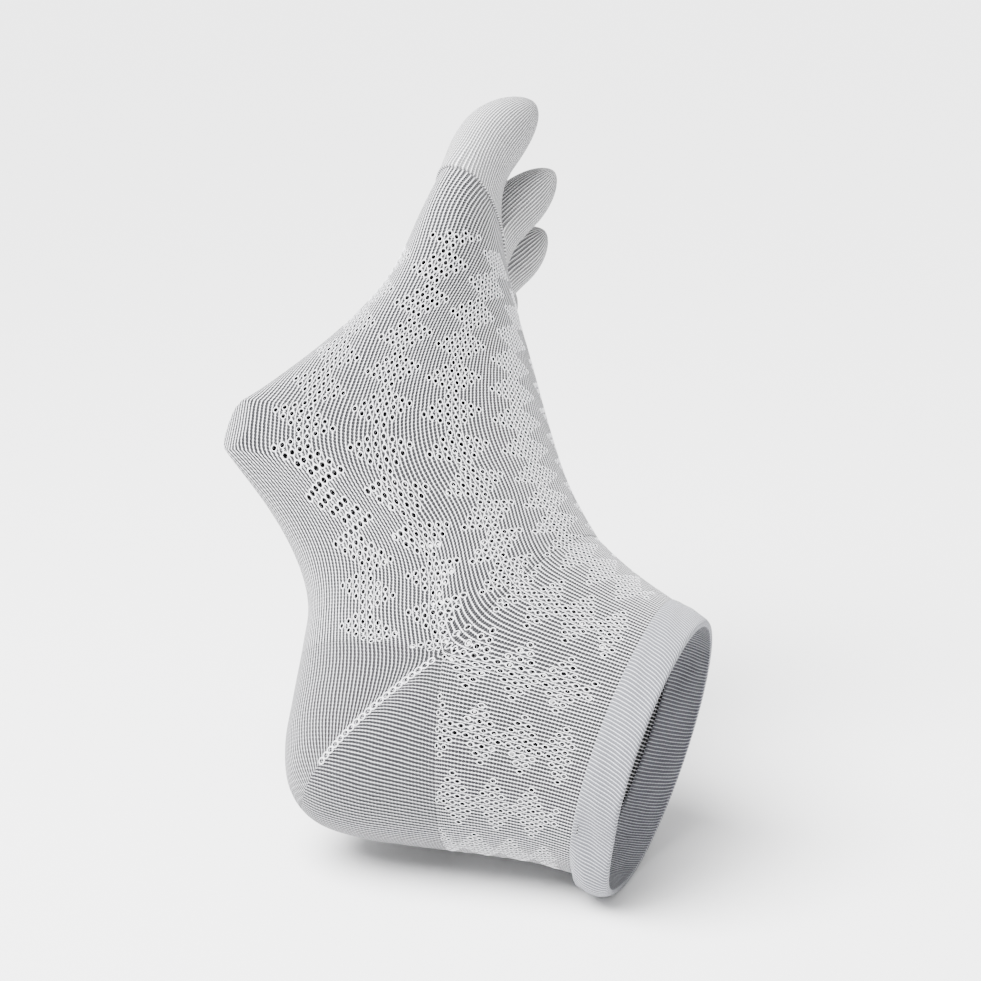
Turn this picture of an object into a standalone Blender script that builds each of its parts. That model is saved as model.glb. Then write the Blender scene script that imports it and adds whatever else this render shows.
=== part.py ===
"""A worn five-toe ankle sock for the right foot, knitted in zones.

The sock keeps the form of a foot with its toes up and its heel down. Its origin is the middle
of the cuff's mouth. The leg runs out of the mouth towards +X, the sole faces -X, the arch
faces -Y and the toes point up and lean back.
"""

import math

import bmesh
import bpy
from mathutils import Vector

# Driving sizes, in metres
FOOT_LENGTH = 0.236       # back of the heel to the tip of the big toe
ANKLE_HEIGHT = 0.108      # sole under the heel to the mouth of the cuff
BALL_WIDTH = 0.088        # across the ball of the foot
CUFF_HEIGHT = 0.0115      # width of the welt round the mouth
KNIT_WALL = 0.0011        # single layer of knit
CUFF_WALL = 0.0019        # the welt is two layers
CUFF_STAND = 0.0008       # how far the welt stands out from the leg
PUCKER_HEIGHT = 0.0032    # the welt's fold behind the ankle
GAP = 0.0003              # clearance between neighbouring pieces
TOE_SEAT = 0.0008         # how far a toe pocket starts past the parting line
PULL_REACH = 0.0385       # how far the arch is pulled out to its peak

# Pose, in degrees
LEG_SLOPE = 10.0          # the leg falls towards its mouth
LEAN = 47.0               # the foot leans to its outer side

# Yarn: colours of the lace, the plain knit and the shaded heel, and one matt finish
KNIT_GREY = (0.58, 0.58, 0.60)
KNIT_LIGHT = (0.66, 0.66, 0.69)
KNIT_SHADE = (0.52, 0.52, 0.55)
KNIT_ROUGHNESS = 0.95

# Mesh density
AROUND = 40               # points round the leg, foot and cuff
TOE_AROUND = 16
LEG_RINGS = 8
FOOT_RINGS = 24
HEEL_RINGS = 14
HEEL_AROUND = 24

# Sections from the mouth to the front corner of the heel. A section runs from its front point
# (shin, instep) through its widest line to its back point (Achilles, sole). Heights along the
# leg are shares of ANKLE_HEIGHT, places along the foot are shares of FOOT_LENGTH, and the
# widths to the arch side and the outer side are shares of BALL_WIDTH. The two fullness
# columns are superellipse exponents: 2 is an ellipse, more is squarer. Skew turns the outer
# side of a section towards the heel, as the toes' parting line runs.
#            front          middle          back        inner  outer  front  back
#          leg    foot    leg    foot    leg    foot    side   side   full   full  skew
LEG_ROWS = (
    (0.000, 0.176, 0.000, 0.000, 0.000, -0.161, 0.366, 0.364, 2.0, 2.0, 0.0),
    (-0.111, 0.193, -0.111, 0.000, -0.111, -0.160, 0.354, 0.352, 2.0, 2.0, 0.0),
    (-0.213, 0.209, -0.250, -0.002, -0.221, -0.163, 0.360, 0.358, 2.0, 2.0, 0.0),
    (-0.296, 0.225, -0.400, -0.006, -0.333, -0.172, 0.381, 0.375, 2.0, 2.0, 0.0),
    (-0.370, 0.243, -0.545, -0.013, -0.440, -0.183, 0.394, 0.386, 2.0, 2.0, 0.0),
)

# Sections from the front corner of the heel to the line where the toes part.
FOOT_ROWS = (
    (-0.370, 0.243, -0.545, -0.013, -0.985, -0.040, 0.394, 0.386, 2.0, 2.4, 0.0),
    (-0.454, 0.277, -0.635, 0.051, -1.028, 0.034, 0.388, 0.386, 2.0, 2.4, 0.0),
    (-0.537, 0.316, -0.722, 0.119, -1.062, 0.106, 0.377, 0.392, 2.0, 2.4, 0.0),
    (-0.620, 0.366, -0.806, 0.195, -1.095, 0.182, 0.375, 0.409, 2.0, 2.4, 0.0),
    (-0.702, 0.418, -0.880, 0.271, -1.130, 0.263, 0.386, 0.438, 2.0, 2.4, 0.0),
    (-0.780, 0.473, -0.944, 0.356, -1.160, 0.347, 0.411, 0.466, 2.0, 2.4, -0.12),
    (-0.858, 0.528, -1.005, 0.443, -1.182, 0.434, 0.452, 0.500, 2.1, 2.4, -0.30),
    (-0.926, 0.575, -1.046, 0.532, -1.194, 0.524, 0.486, 0.523, 2.3, 2.5, -0.52),
    (-0.980, 0.618, -1.080, 0.618, -1.188, 0.622, 0.464, 0.523, 2.5, 2.6, -0.75),
)

SKEW_FADE = 0.15          # share of BALL_WIDTH
# The welt's seam, as a share of the way down the leg's table.
CUFF_SHARE = CUFF_HEIGHT / (-LEG_ROWS[1][0] * ANKLE_HEIGHT) / (len(LEG_ROWS) - 1)

# The heel's back line, turned from the leg to the sole about the gore tips.
#             leg    foot   back full
HEEL_BACK = (
    (-0.440, -0.183, 2.0),
    (-0.560, -0.195, 2.0),
    (-0.675, -0.205, 2.0),
    (-0.790, -0.206, 2.0),
    (-0.872, -0.186, 2.1),
    (-0.925, -0.145, 2.2),
    (-0.957, -0.092, 2.3),
    (-0.985, -0.040, 2.4),
)
GORE_TRIM = 2.5           # degrees left open at each gore tip

# Each toe pocket: its span across the ball at the parting line, as shares of BALL_WIDTH, its
# tip in the same shares as the sections, its half thickness and half width there, and how far
# its middle bows towards the sole.
#                  span           tip: leg   foot   across  thick  wide   bow
TOES = {
    "big_toe": (-0.459, -0.142, -1.022, 0.781, -0.300, 0.104, 0.138, 0.048),
    "second_toe": (-0.142, 0.054, -0.955, 0.748, -0.045, 0.085, 0.093, 0.000),
    "third_toe": (0.054, 0.220, -0.958, 0.696, 0.140, 0.090, 0.090, 0.000),
    "fourth_toe": (0.220, 0.373, -1.030, 0.632, 0.306, 0.087, 0.085, 0.000),
    "little_toe": (0.373, 0.523, -1.070, 0.567, 0.474, 0.080, 0.078, 0.000),
}
# Along a toe: share of its length, share of its girth, and how far it is a round tube.
TOE_ROWS = (
    (0.00, 1.00, 0.0),
    (0.12, 0.99, 0.45),
    (0.28, 0.97, 0.9),
    (0.48, 1.00, 1.0),
    (0.66, 0.94, 1.0),
    (0.80, 0.76, 1.0),
    (0.90, 0.53, 1.0),
    (0.97, 0.26, 1.0),
)
TOE_SQUARE = 0.25         # exponent that squares a toe's root

# The welt from its mouth to its seam: share of its height, and how far it and its pucker
# stand out there.
CUFF_ROWS = (
    (0.00, 0.5, 0.60),
    (0.12, 0.8, 0.75),
    (0.35, 1.0, 0.95),
    (0.62, 1.0, 1.00),
    (0.85, 0.9, 0.75),
    (1.00, 0.3, 0.00),
)
# The pucker behind the ankle: turn from the back in radians, width in radians, height.
PUCKERS = (
    (-0.05, 0.30, 1.00),
    (0.52, 0.20, -0.40),
)

# The peak at the arch: the point that is pulled, by its share along the foot and its turn
# from the middle of the sole, and which way it is pulled. The foot of the peak reaches
# further towards the toes than towards the heel.
PULL_AT = (0.385, 52.0)
PULL_WAY = (-0.97, -0.05, -0.20)  # leg, foot, across
PULL_CAP = 0.13           # flat top of the peak, as a share of its foot
PULL_UP = 0.330           # foot of the peak towards the toes, share of FOOT_LENGTH
PULL_DOWN = 0.205         # and towards the heel
PULL_ROUND = 0.52         # and round the foot, share of BALL_WIDTH
PULL_SOFT = 0.15          # how softly the foot of the peak starts
STEEP_UP = 1.25           # slope of the peak's sides: 1 is a plain cone
STEEP_DOWN = 1.8
PULL_TURN = 0.07          # stretch over which one slope gives way to the other

slope = math.radians(LEG_SLOPE)
lean = math.radians(LEAN)
LEG_AXIS = Vector((math.cos(slope), 0.0, -math.sin(slope)))
LEVEL = Vector((math.sin(slope), 0.0, math.cos(slope)))
TOE_AXIS = math.cos(lean) * LEVEL + math.sin(lean) * Vector((0.0, 1.0, 0.0))
OUTER_AXIS = -math.sin(lean) * LEVEL + math.cos(lean) * Vector((0.0, 1.0, 0.0))


def place(point):
    """Turn a point from the sock's own axes (leg, foot, across) into the world."""
    leg, foot, across = point
    return leg * LEG_AXIS + foot * TOE_AXIS + across * OUTER_AXIS


def between(rows, share):
    """One row of a table, read smoothly at a share of the way along it."""
    last = len(rows) - 1
    at = min(max(share, 0.0), 1.0) * last
    first = min(int(at), last - 1)
    t = at - first
    before = rows[max(first - 1, 0)]
    start, end = rows[first], rows[first + 1]
    after = rows[min(first + 2, last)]
    row = []
    for a, b, c, d in zip(before, start, end, after):
        bend = (2 * a - 5 * b + 4 * c - d) * t * t + (3 * b - a - 3 * c + d) * t ** 3
        row.append(b + 0.5 * ((c - a) * t + bend))
    return row


def power(value, exponent):
    return math.copysign(abs(value) ** exponent, value)


def outward(across):
    """How far a point lies to the outer side, fading out over the arch side."""
    return (across + math.hypot(across, SKEW_FADE * BALL_WIDTH)) / 2


def section_point(row, turn):
    """A point on a section, turned from the back (0) by the arch side (90) to the front."""
    front_leg, front_foot, mid_leg, mid_foot, back_leg, back_foot = row[:6]
    inner, outer, front_full, back_full, skew = row[6:]
    along, side = -math.cos(turn), math.sin(turn)
    full = front_full if along > 0 else back_full
    reach = abs(power(along, 2 / full))
    end_leg, end_foot = (front_leg, front_foot) if along > 0 else (back_leg, back_foot)
    across = -power(side, 2 / full) * (inner if side > 0 else outer) * BALL_WIDTH
    leg = (mid_leg + reach * (end_leg - mid_leg)) * ANKLE_HEIGHT
    foot = (mid_foot + reach * (end_foot - mid_foot)) * FOOT_LENGTH + skew * outward(across)
    return Vector((leg, foot, across))


def pulled(point):
    """Draw a point of the foot towards the peak at the arch."""
    share, turn = PULL_AT
    off = point - section_point(between(FOOT_ROWS, share), math.radians(turn))
    ahead = (1 + math.tanh(off.y / (PULL_TURN * FOOT_LENGTH))) / 2
    reach = PULL_DOWN + ahead * (PULL_UP - PULL_DOWN)
    steep = STEEP_DOWN + ahead * (STEEP_UP - STEEP_DOWN)
    sideways = math.hypot(off.x, off.z) / (PULL_ROUND * BALL_WIDTH)
    far = math.hypot(off.y / (reach * FOOT_LENGTH), sideways)
    rise = min(max((1.0 - far) / (1.0 - PULL_CAP), 0.0), 1.0)
    soft = rise * rise * (1.0 + PULL_SOFT) / (rise + PULL_SOFT)
    return point + soft ** steep * PULL_REACH * Vector(PULL_WAY)


def leg_point(share, turn):
    return section_point(between(LEG_ROWS, share), turn)


def foot_point(share, turn):
    return pulled(section_point(between(FOOT_ROWS, share), turn))


def heel_point(share, turn):
    """The heel turns about the gore tips, so only a section's back half changes."""
    back_leg, back_foot, full = between(HEEL_BACK, share)
    row = list(FOOT_ROWS[0])
    row[4], row[5], row[9] = back_leg, back_foot, full
    return pulled(section_point(row, turn))


def trimmed(rings, start=True, end=True):
    """Pull the first and last ring back so that neighbours keep their gap."""
    rings = [list(ring) for ring in rings]
    for wanted, edge, inside in ((start, 0, 1), (end, -1, -2)):
        if wanted:
            for k, (a, b) in enumerate(zip(rings[edge], rings[inside])):
                rings[edge][k] = a + (b - a).normalized() * GAP / 2
    return rings


def finish(name, bm, wall, colour):
    """Turn a surface into a named knit wall with its own material."""
    mesh = bpy.data.meshes.new(name)
    bm.to_mesh(mesh)
    bm.free()
    mesh.shade_smooth()
    piece = bpy.data.objects.new(name, mesh)
    sock.objects.link(piece)
    piece.parent = mount
    shell = piece.modifiers.new("Wall", "SOLIDIFY")
    shell.thickness = wall
    shell.offset = -1.0
    shell.use_even_offset = False
    material = bpy.data.materials.new(name)
    material.use_nodes = True
    surface = material.node_tree.nodes["Principled BSDF"]
    surface.inputs["Base Color"].default_value = (*colour, 1.0)
    surface.inputs["Roughness"].default_value = KNIT_ROUGHNESS
    surface.inputs["Metallic"].default_value = 0.0
    mesh.materials.append(material)
    return piece


def loft(rings, closed=True, tip=None):
    """Skin a list of rings; a tip point closes the last one."""
    bm = bmesh.new()
    grid = [[bm.verts.new(place(point)) for point in ring] for ring in rings]
    count = len(grid[0])
    for low, high in zip(grid, grid[1:]):
        for k in range(count if closed else count - 1):
            after = (k + 1) % count
            bm.faces.new((low[k], low[after], high[after], high[k]))
    if tip is not None:
        end = bm.verts.new(place(tip))
        for k in range(count):
            bm.faces.new((grid[-1][k], grid[-1][(k + 1) % count], end))
    bmesh.ops.recalc_face_normals(bm, faces=bm.faces)
    return bm


def turns(count):
    return [2 * math.pi * k / count for k in range(count)]


def make_cuff():
    """The welt: a band that stands out from the leg and puckers behind the ankle."""
    rings = []
    for step, swell, lift in CUFF_ROWS:
        ring = []
        for turn in turns(AROUND):
            out = Vector((0.0, -math.cos(turn), -math.sin(turn)))
            behind = (turn + math.pi) % (2 * math.pi) - math.pi
            fold = sum(height * math.exp(-((behind - at) / width) ** 2) for at, width, height in PUCKERS)
            stand = CUFF_STAND * swell + PUCKER_HEIGHT * lift * fold
            ring.append(leg_point(CUFF_SHARE * step, turn) + out * stand)
        rings.append(ring)
    return finish("cuff", loft(trimmed(rings, start=False)), CUFF_WALL, KNIT_LIGHT)


def make_leg():
    """The lace tube between the cuff and the heel."""
    shares = [CUFF_SHARE + (1 - CUFF_SHARE) * k / LEG_RINGS for k in range(LEG_RINGS + 1)]
    rings = [[leg_point(share, turn) for turn in turns(AROUND)] for share in shares]
    return finish("leg", loft(trimmed(rings)), KNIT_WALL, KNIT_GREY)


def make_heel():
    """The turned heel, a cup between the leg and the sole that ends at the gore tips."""
    limit = math.radians(90.0 - GORE_TRIM)
    sides = [-limit + 2 * limit * k / HEEL_AROUND for k in range(HEEL_AROUND + 1)]
    rings = [[heel_point(k / HEEL_RINGS, turn) for turn in sides] for k in range(HEEL_RINGS + 1)]
    return finish("heel_pocket", loft(trimmed(rings), closed=False), KNIT_WALL, KNIT_SHADE)


def make_foot():
    """The tube of the foot, with lace on the instep and the peak at the arch."""
    rings = [[foot_point(k / FOOT_RINGS, turn) for turn in turns(AROUND)] for k in range(FOOT_RINGS + 1)]
    return finish("foot", loft(trimmed(rings)), KNIT_WALL, KNIT_GREY)


def parting_point(across, height):
    """A point in the oval where the toes part: across it, and from sole (-1) to top (1)."""
    front_leg, front_foot, mid_leg, mid_foot, back_leg, back_foot = FOOT_ROWS[-1][:6]
    inner, outer, front_full, back_full, skew = FOOT_ROWS[-1][6:]
    share = abs(across) / ((inner if across < 0 else outer) * BALL_WIDTH)
    full = front_full if height > 0 else back_full
    reach = abs(height) * max(1.0 - share ** full, 0.0) ** (1.0 / full)
    end_leg, end_foot = (front_leg, front_foot) if height > 0 else (back_leg, back_foot)
    leg = (mid_leg + reach * (end_leg - mid_leg)) * ANKLE_HEIGHT
    foot = (mid_foot + reach * (end_foot - mid_foot)) * FOOT_LENGTH + skew * outward(across)
    return Vector((leg, foot, across))


def make_toe(name, row):
    """A pocket that starts as its share of the parting oval and draws in to a blunt point."""
    inner, outer, tip_leg, tip_foot, tip_across, thick, wide, bow = row
    low, high = inner * BALL_WIDTH + GAP / 2, outer * BALL_WIDTH - GAP / 2
    middle, half = (low + high) / 2, (high - low) / 2
    base = parting_point(middle, 0.0)
    tip = Vector((tip_leg * ANKLE_HEIGHT, tip_foot * FOOT_LENGTH, tip_across * BALL_WIDTH))
    way = (tip - base).normalized()
    base_up = (parting_point(middle, 1.0) - parting_point(middle, -1.0)).normalized()
    tip_up = (base_up - base_up.dot(way) * way).normalized()
    tip_side = tip_up.cross(way).normalized()
    base_side = (parting_point(high, 0.0) - parting_point(low, 0.0)).normalized()
    rings = []
    for share, girth, roundness in TOE_ROWS:
        sag = -bow * BALL_WIDTH * math.sin(math.pi * share) * tip_up
        centre = base + (tip - base) * share + sag
        up = base_up.lerp(tip_up, share).normalized()
        side = base_side.lerp(tip_side, share).normalized()
        ring = []
        for turn in turns(TOE_AROUND):
            square = (power(math.sin(turn), TOE_SQUARE), -power(math.cos(turn), TOE_SQUARE))
            root = parting_point(middle + half * square[0], square[1]) - base + centre
            knob = centre + side * (wide * BALL_WIDTH * girth * math.sin(turn))
            knob -= up * (thick * BALL_WIDTH * girth * math.cos(turn))
            ring.append(root.lerp(knob, roundness) + way * TOE_SEAT)
        rings.append(ring)
    return finish(name, loft(rings, tip=tip), KNIT_WALL, KNIT_LIGHT)


for old in list(bpy.data.objects):
    bpy.data.objects.remove(old)

sock = bpy.data.collections.new("toe_sock")
bpy.context.scene.collection.children.link(sock)
mount = bpy.data.objects.new("ankle_opening", None)
sock.objects.link(mount)

make_cuff()
make_leg()
make_heel()
make_foot()
for toe, toe_row in TOES.items():
    make_toe(toe, toe_row)
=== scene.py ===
"""A worn five-toe ankle sock in fine grey lace knit, dressed over its CAD frame."""

import math

import bpy
import numpy as np
from mathutils import Matrix, Vector
from mathutils.bvhtree import BVHTree


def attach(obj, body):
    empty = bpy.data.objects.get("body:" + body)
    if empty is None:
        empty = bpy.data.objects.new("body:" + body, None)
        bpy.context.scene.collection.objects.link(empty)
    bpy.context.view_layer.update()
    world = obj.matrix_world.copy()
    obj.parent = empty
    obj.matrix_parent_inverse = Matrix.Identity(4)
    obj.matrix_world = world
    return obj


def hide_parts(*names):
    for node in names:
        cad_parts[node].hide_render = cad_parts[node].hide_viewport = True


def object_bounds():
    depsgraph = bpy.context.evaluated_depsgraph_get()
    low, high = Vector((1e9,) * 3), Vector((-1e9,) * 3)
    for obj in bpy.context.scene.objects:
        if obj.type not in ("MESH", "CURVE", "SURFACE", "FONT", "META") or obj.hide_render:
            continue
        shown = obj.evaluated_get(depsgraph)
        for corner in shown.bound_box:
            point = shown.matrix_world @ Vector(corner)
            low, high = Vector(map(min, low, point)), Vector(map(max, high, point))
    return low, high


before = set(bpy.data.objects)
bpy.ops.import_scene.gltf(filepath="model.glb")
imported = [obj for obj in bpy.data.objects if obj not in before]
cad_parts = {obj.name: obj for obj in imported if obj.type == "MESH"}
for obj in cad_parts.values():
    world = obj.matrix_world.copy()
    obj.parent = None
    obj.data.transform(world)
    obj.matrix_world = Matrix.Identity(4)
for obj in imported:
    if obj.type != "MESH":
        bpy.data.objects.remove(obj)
CAD_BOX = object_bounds()

# The view. The sock stands on its heel with the arch side towards the camera, which looks
# a little down on it from the toe side.
VIEW_RIGHT = Vector((0.92718, 0.37461, 0.0))
VIEW_UP = Vector((-0.10953, 0.27108, 0.95630))
VIEW_BACK = Vector((0.35824, -0.88667, 0.29237))
VIEW_PLACE = Vector((0.17404, -0.55596, 0.25549))
camera_lens = bpy.data.cameras.new("camera")
camera_lens.sensor_width = 36.0
camera_lens.lens = 83.57
camera_lens.clip_start = 0.01
camera = bpy.data.objects.new("camera", camera_lens)
turned = Matrix((VIEW_RIGHT, VIEW_UP, VIEW_BACK)).transposed().to_4x4()
camera.matrix_world = Matrix.Translation(VIEW_PLACE) @ turned
bpy.context.scene.collection.objects.link(camera)
bpy.context.scene.camera = camera

# Foot: a single tube of fine jersey from the heel to the roots of the toes. The sole and the
# ball are plain, and the instep carries columns of eyelet diamonds. The arch is drawn out to
# a peak, and the stitches stretch with it.
FOOT_LENGTH = 0.236
ANKLE_HEIGHT = 0.108
BALL_WIDTH = 0.088
#            front          middle          back        inner  outer  front  back
#          leg    foot    leg    foot    leg    foot    side   side   full   full  skew
FOOT_ROWS = np.array((
    (-0.370, 0.243, -0.545, -0.013, -0.985, -0.040, 0.394, 0.386, 2.0, 2.4, 0.0),
    (-0.454, 0.277, -0.635, 0.051, -1.028, 0.034, 0.388, 0.386, 2.0, 2.4, 0.0),
    (-0.537, 0.316, -0.722, 0.119, -1.062, 0.106, 0.377, 0.392, 2.0, 2.4, 0.0),
    (-0.620, 0.366, -0.806, 0.195, -1.095, 0.182, 0.375, 0.409, 2.0, 2.4, 0.0),
    (-0.702, 0.418, -0.880, 0.271, -1.130, 0.263, 0.386, 0.438, 2.0, 2.4, 0.0),
    (-0.780, 0.473, -0.944, 0.356, -1.160, 0.347, 0.411, 0.466, 2.0, 2.4, -0.12),
    (-0.858, 0.528, -1.005, 0.443, -1.182, 0.434, 0.452, 0.500, 2.1, 2.4, -0.30),
    (-0.926, 0.575, -1.046, 0.532, -1.194, 0.524, 0.486, 0.523, 2.3, 2.5, -0.52),
    (-0.980, 0.618, -1.080, 0.618, -1.188, 0.622, 0.464, 0.523, 2.5, 2.6, -0.75),
))
SKEW_FADE = 0.15          # share of BALL_WIDTH over which the skew fades out
PEAK_AT = (0.385, 52.0)   # share along the foot, and turn in degrees from the middle of the sole
PEAK_WAY = np.array((-0.97, -0.05, -0.20))  # leg, foot, across
PEAK_REACH = 0.0385
PEAK_CAP = 0.13           # flat top of the peak, as a share of its foot
PEAK_UP = 0.330           # foot of the peak towards the toes, share of FOOT_LENGTH
PEAK_DOWN = 0.205         # and towards the heel
PEAK_ROUND = 0.52         # and round the foot, share of BALL_WIDTH
PEAK_SOFT = 0.15          # how softly the foot of the peak starts
PEAK_STEEP = (1.25, 1.8)  # its slope towards the toes and towards the heel: 1 is a plain cone
PEAK_TURN = 0.07          # stretch over which one slope gives way to the other
LEG_SLOPE = math.radians(10.0)
FOOT_LEAN = math.radians(47.0)
LEG_AXIS = np.array((math.cos(LEG_SLOPE), 0.0, -math.sin(LEG_SLOPE)))
LEVEL = np.array((math.sin(LEG_SLOPE), 0.0, math.cos(LEG_SLOPE)))
ACROSS = np.array((0.0, 1.0, 0.0))
TOE_AXIS = math.cos(FOOT_LEAN) * LEVEL + math.sin(FOOT_LEAN) * ACROSS
OUTER_AXIS = -math.sin(FOOT_LEAN) * LEVEL + math.cos(FOOT_LEAN) * ACROSS

WALES = 216
FOOT_RINGS = 104
RING_COURSES = 1.5        # courses of stitches from one ring to the next
FIRST_COURSE = 0.5        # half a course in, so that a piece ends in the yarn and not in a gap
KNIT_THICK = 0.0007
JOIN_CLOSES = 1.5         # how much more a join closes the gaps than an eyelet's rim does
# One eyelet diamond, from its toe end to its heel end: a row is the step from ring to ring, a
# mark is one wale and each o is an eyelet.
LACE_CHART = (
    "......o........",
    "....o...o......",
    "..o...o...o....",
    "o...o...o...o..",
    "..o...o...o...o",
    "....o...o...o..",
    "......o...o....",
    "........o......",
)
LACE_PITCH = 18           # wales from one column of diamonds to the next
LACE_COLUMNS = range(-5, 7)
LACE_SOLE_EDGE = 28       # wales from the middle of the sole to the lace
LACE_TOE_EDGE = 0.85      # share along the foot where the lace ends
EYELET_REACH = 1.2        # how far stitches part at an eyelet: 1 leaves them where they lie
EYELET_CORNER = 0.55      # how far its corners stay apart along it, which rounds it
PEAK_WALE = 18            # the wale that is drawn to the peak
PEAK_SPAN = (0.06, 0.385, 0.90)  # shares along the foot between which wales are drawn aside
BALL_SPAN = (0.50, 0.92)  # shares between which the wales spread over the ball
BALL_SPREAD = 0.42        # how far they spread
SPREAD_TURNS = (118, 62)  # where round the foot they spread, and over how much, in degrees


def place(points):
    """From the sock's own axes (leg, foot, across) to the world."""
    return points @ np.array((LEG_AXIS, TOE_AXIS, OUTER_AXIS))


def between(rows, share):
    """A table's columns, read smoothly at each share of the way along it."""
    last = len(rows) - 1
    at = np.clip(np.asarray(share, float), 0.0, 1.0) * last
    first = np.minimum(at.astype(int), last - 1)
    t = (at - first)[..., None]
    a = rows[np.maximum(first - 1, 0)]
    b, c = rows[first], rows[first + 1]
    d = rows[np.minimum(first + 2, last)]
    bend = (2 * a - 5 * b + 4 * c - d) * t ** 2 + (3 * b - a - 3 * c + d) * t ** 3
    return b + 0.5 * ((c - a) * t + bend)


def smooth(share):
    """Eases a share that goes from 0 to 1."""
    return share ** 2 * (3 - 2 * share)


def outward(across):
    """How far points lie to the outer side, fading out over the arch side."""
    return (across + np.hypot(across, SKEW_FADE * BALL_WIDTH)) / 2


def section(rows, turn):
    """Points of bent oval sections, turned from the back (0) by the arch side to the front."""
    front, middle, back = rows[..., 0:2], rows[..., 2:4], rows[..., 4:6]
    along, side = -np.cos(turn), np.sin(turn)
    full = np.where(along > 0, rows[..., 8], rows[..., 9])
    reach = np.abs(along) ** (2 / full)
    spread = np.where(side > 0, rows[..., 6], rows[..., 7])
    across = -np.sign(side) * np.abs(side) ** (2 / full) * spread * BALL_WIDTH
    end = np.where((along > 0)[..., None], front, back)
    leg = (middle[..., 0] + reach * (end[..., 0] - middle[..., 0])) * ANKLE_HEIGHT
    foot = (middle[..., 1] + reach * (end[..., 1] - middle[..., 1])) * FOOT_LENGTH
    return np.stack((leg, foot + rows[..., 10] * outward(across), across), axis=-1)


def drawn_out(points):
    """Points of the foot, drawn towards the peak at the arch."""
    share, turn = PEAK_AT
    centre = section(between(FOOT_ROWS, share), np.radians(turn))
    off = points - centre
    ahead = (1 + np.tanh(off[..., 1] / (PEAK_TURN * FOOT_LENGTH))) / 2
    reach = (PEAK_DOWN + ahead * (PEAK_UP - PEAK_DOWN)) * FOOT_LENGTH
    steep = PEAK_STEEP[1] + ahead * (PEAK_STEEP[0] - PEAK_STEEP[1])
    sideways = np.hypot(off[..., 0], off[..., 2]) / (PEAK_ROUND * BALL_WIDTH)
    far = np.hypot(off[..., 1] / reach, sideways)
    rise = np.clip((1 - far) / (1 - PEAK_CAP), 0, 1)
    soft = rise ** 2 * (1 + PEAK_SOFT) / (rise + PEAK_SOFT)
    return points + (soft ** steep)[..., None] * PEAK_REACH * PEAK_WAY


def even_turns(curve, start, end, count, spread=0.0):
    """Turns, in degrees, that part a curve from start to end into equal lengths of knit.

    With a spread the wales lie wider on the arch side and narrower on the other.
    """
    fine = np.linspace(start, end, 721)
    line = curve(np.radians(fine))
    wider = spread * np.exp(-((fine[1:] - SPREAD_TURNS[0]) / SPREAD_TURNS[1]) ** 2)
    run = np.cumsum(np.linalg.norm(np.diff(line, axis=0), axis=1) * (1 - wider))
    run = np.concatenate(([0], run))
    return np.interp(np.linspace(0, run[-1], count + 1), run, fine)


def round_turns(row, drawn=0.0, spread=0.0):
    """Turns of two columns a wale: half of the wales round the back, half round the front.

    Near the peak the wales are drawn round the foot towards it, and over the ball they spread.
    """
    def curve(turn):
        return drawn_out(section(row, turn))

    back = even_turns(curve, -90, 90, WALES)
    front = even_turns(curve, 90, 270, WALES)
    plain = np.concatenate((back[WALES // 2:-1], front[:-1], back[:WALES // 2] + 360))
    if spread > 0.0:
        plain = plain + spread * (even_turns(curve, 0, 360, 2 * WALES, BALL_SPREAD)[:-1] - plain)
    if drawn == 0.0:
        return np.radians(plain)
    arch = even_turns(curve, PEAK_AT[1], 180, WALES - 2 * PEAK_WALE)
    outer = even_turns(curve, 180, 360 + PEAK_AT[1], WALES + 2 * PEAK_WALE)
    pulled = np.concatenate((arch[:-1], outer[:-1]))
    pulled = np.concatenate((pulled[-2 * PEAK_WALE:] - 360, pulled[:-2 * PEAK_WALE]))
    return np.radians(plain + drawn * (pulled - plain))


def lace_marks(rows, first_row, wales):
    """Where eyelets go: (row, wale) pairs in a band of that many rows."""
    marks = []
    depth = len(LACE_CHART)
    for column in LACE_COLUMNS:
        middle = WALES // 2 + column * LACE_PITCH - len(LACE_CHART[0]) // 2
        drop = (column % 2) * depth // 2
        for row in range(rows):
            chart_row = LACE_CHART[-1 - (first_row + row + drop) % depth]
            for mark, sign in enumerate(chart_row):
                wale = (middle + mark) % WALES
                if sign == "o" and wales[0] <= wale <= wales[1]:
                    marks.append((row, wale))
    return marks


def open_eyelets(grid, marks):
    """Part the stitches at each eyelet and round its edge. Returns the quads to leave out."""
    gone = np.zeros((grid.shape[0] - 1, grid.shape[1]), bool)
    columns = grid.shape[1]
    for row, wale in marks:
        left, centre, right = (2 * wale - 1) % columns, 2 * wale, (2 * wale + 1) % columns
        low, high = grid[row], grid[row + 1]
        middle = (low[centre] + high[centre]) / 2
        side = (low[right] - low[left] + high[right] - high[left]) / 4
        up = (high[centre] - low[centre]) / 2
        for column, shift in ((left, -EYELET_REACH), (right, EYELET_REACH)):
            low[column] = middle + shift * side - EYELET_CORNER * up
            high[column] = middle + shift * side + EYELET_CORNER * up
        low[centre] = middle - EYELET_REACH * up
        high[centre] = middle + EYELET_REACH * up
        gone[row, left] = gone[row, centre] = True
    return gone


def rim_of(gone):
    """1 at the grid points round each eyelet, and 0 elsewhere."""
    rim = np.zeros((gone.shape[0] + 1, gone.shape[1]))
    row, column = np.nonzero(gone)
    for down in (0, 1):
        for over in (0, 1):
            rim[row + down, (column + over) % gone.shape[1]] = 1
    return rim


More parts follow.
